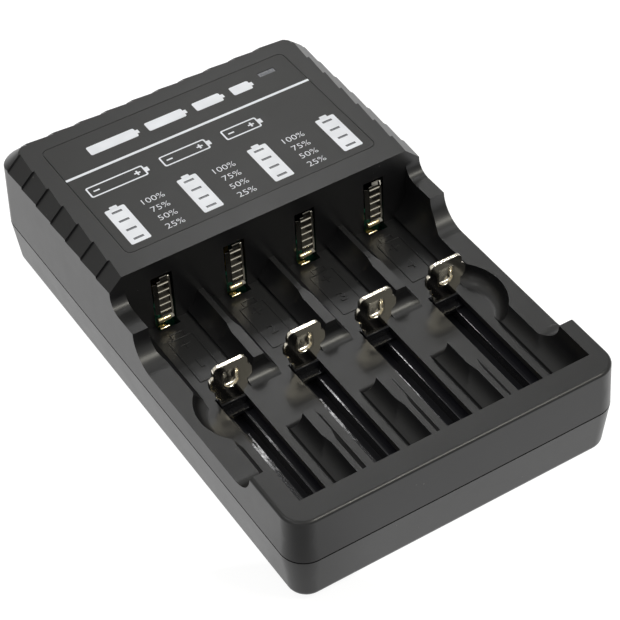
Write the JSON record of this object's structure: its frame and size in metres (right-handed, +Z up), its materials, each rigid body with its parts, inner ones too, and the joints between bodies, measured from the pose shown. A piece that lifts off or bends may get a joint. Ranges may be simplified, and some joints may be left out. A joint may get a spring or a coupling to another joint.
{
  "type": "li-ion battery charger",
  "caption": "Desktop charger with side-by-side cradles for cylindrical cells, a raised head with level windows and sprung sliding contacts.",
  "frame": {"origin": "on the table, under the middle of the case's outline", "axes": "+Y along the bays from the front wall to the head, +X across the bays to the right seen from the front, +Z up"},
  "size_m": [0.0954, 0.1528, 0.039],
  "materials": {
    "case_lower": "fine satin grain",
    "case_upper": "fine satin grain",
    "label_film": "satin printed film",
    "window_clear": "smoked clear",
    "contact_nickel": "polished nickel plate",
    "carriage_plastic": "smooth",
    "track_gloss": "glossy",
    "spring_steel": "drawn wire",
    "rail_brass": "polished",
    "circuit_board": "solder mask",
    "lamp_body": "moulded",
    "transformer_tape": "tape",
    "capacitor_sleeve": "sleeve",
    "inlet_plastic": "moulded",
    "pin_nickel": "plated",
    "screw_steel": "zinc plate",
    "foot_rubber": "matte",
    "label_ink": "printed ink"
  },
  "bodies": {
    "case": {"base_shell": "case_lower", "top_shell": "case_upper", "label_plate": "label_film", "power_window": "window_clear", "light_guide_1": "window_clear", "light_guide_2": "window_clear", "light_guide_3": "window_clear", "light_guide_4": "window_clear", "contact_1": "contact_nickel", "contact_2": "contact_nickel", "contact_3": "contact_nickel", "contact_4": "contact_nickel", "contact_board": "circuit_board", "contact_rail_1": "rail_brass", "contact_rail_2": "rail_brass", "contact_rail_3": "rail_brass", "contact_rail_4": "rail_brass", "slide_track": "track_gloss", "display_board": "circuit_board", "level_lamps": "lamp_body", "power_board": "circuit_board", "transformer": "transformer_tape", "input_capacitor": "capacitor_sleeve", "output_capacitor_1": "capacitor_sleeve", "output_capacitor_2": "capacitor_sleeve", "power_inlet": "inlet_plastic", "inlet_pin_1": "pin_nickel", "inlet_pin_2": "pin_nickel", "case_screw_1": "screw_steel", "case_screw_2": "screw_steel", "case_screw_3": "screw_steel", "case_screw_4": "screw_steel", "foot_1": "foot_rubber", "foot_2": "foot_rubber", "foot_3": "foot_rubber", "foot_4": "foot_rubber"},
    "slider_1": {"slider_plate_1": "contact_nickel", "slider_carriage_1": "carriage_plastic", "return_spring_1": "spring_steel"},
    "slider_2": {"slider_plate_2": "contact_nickel", "slider_carriage_2": "carriage_plastic", "return_spring_2": "spring_steel"},
    "slider_3": {"slider_plate_3": "contact_nickel", "slider_carriage_3": "carriage_plastic", "return_spring_3": "spring_steel"},
    "slider_4": {"slider_plate_4": "contact_nickel", "slider_carriage_4": "carriage_plastic", "return_spring_4": "spring_steel"}
  },
  "joints": [
    {"name": "slider_slide_1", "type": "slide", "parent": "case", "child": "slider_1", "axis": [0, -1, 0], "range_m": [0, 0.0415], "stiffness_N_per_m": 60, "springref_m": -0.025, "deforming": ["return_spring_1"]},
    {"name": "slider_slide_2", "type": "slide", "parent": "case", "child": "slider_2", "axis": [0, -1, 0], "range_m": [0, 0.0415], "stiffness_N_per_m": 60, "springref_m": -0.025, "deforming": ["return_spring_2"]},
    {"name": "slider_slide_3", "type": "slide", "parent": "case", "child": "slider_3", "axis": [0, -1, 0], "range_m": [0, 0.0415], "stiffness_N_per_m": 60, "springref_m": -0.025, "deforming": ["return_spring_3"]},
    {"name": "slider_slide_4", "type": "slide", "parent": "case", "child": "slider_4", "axis": [0, -1, 0], "range_m": [0, 0.0415], "stiffness_N_per_m": 60, "springref_m": -0.025, "deforming": ["return_spring_4"]}
  ]
}
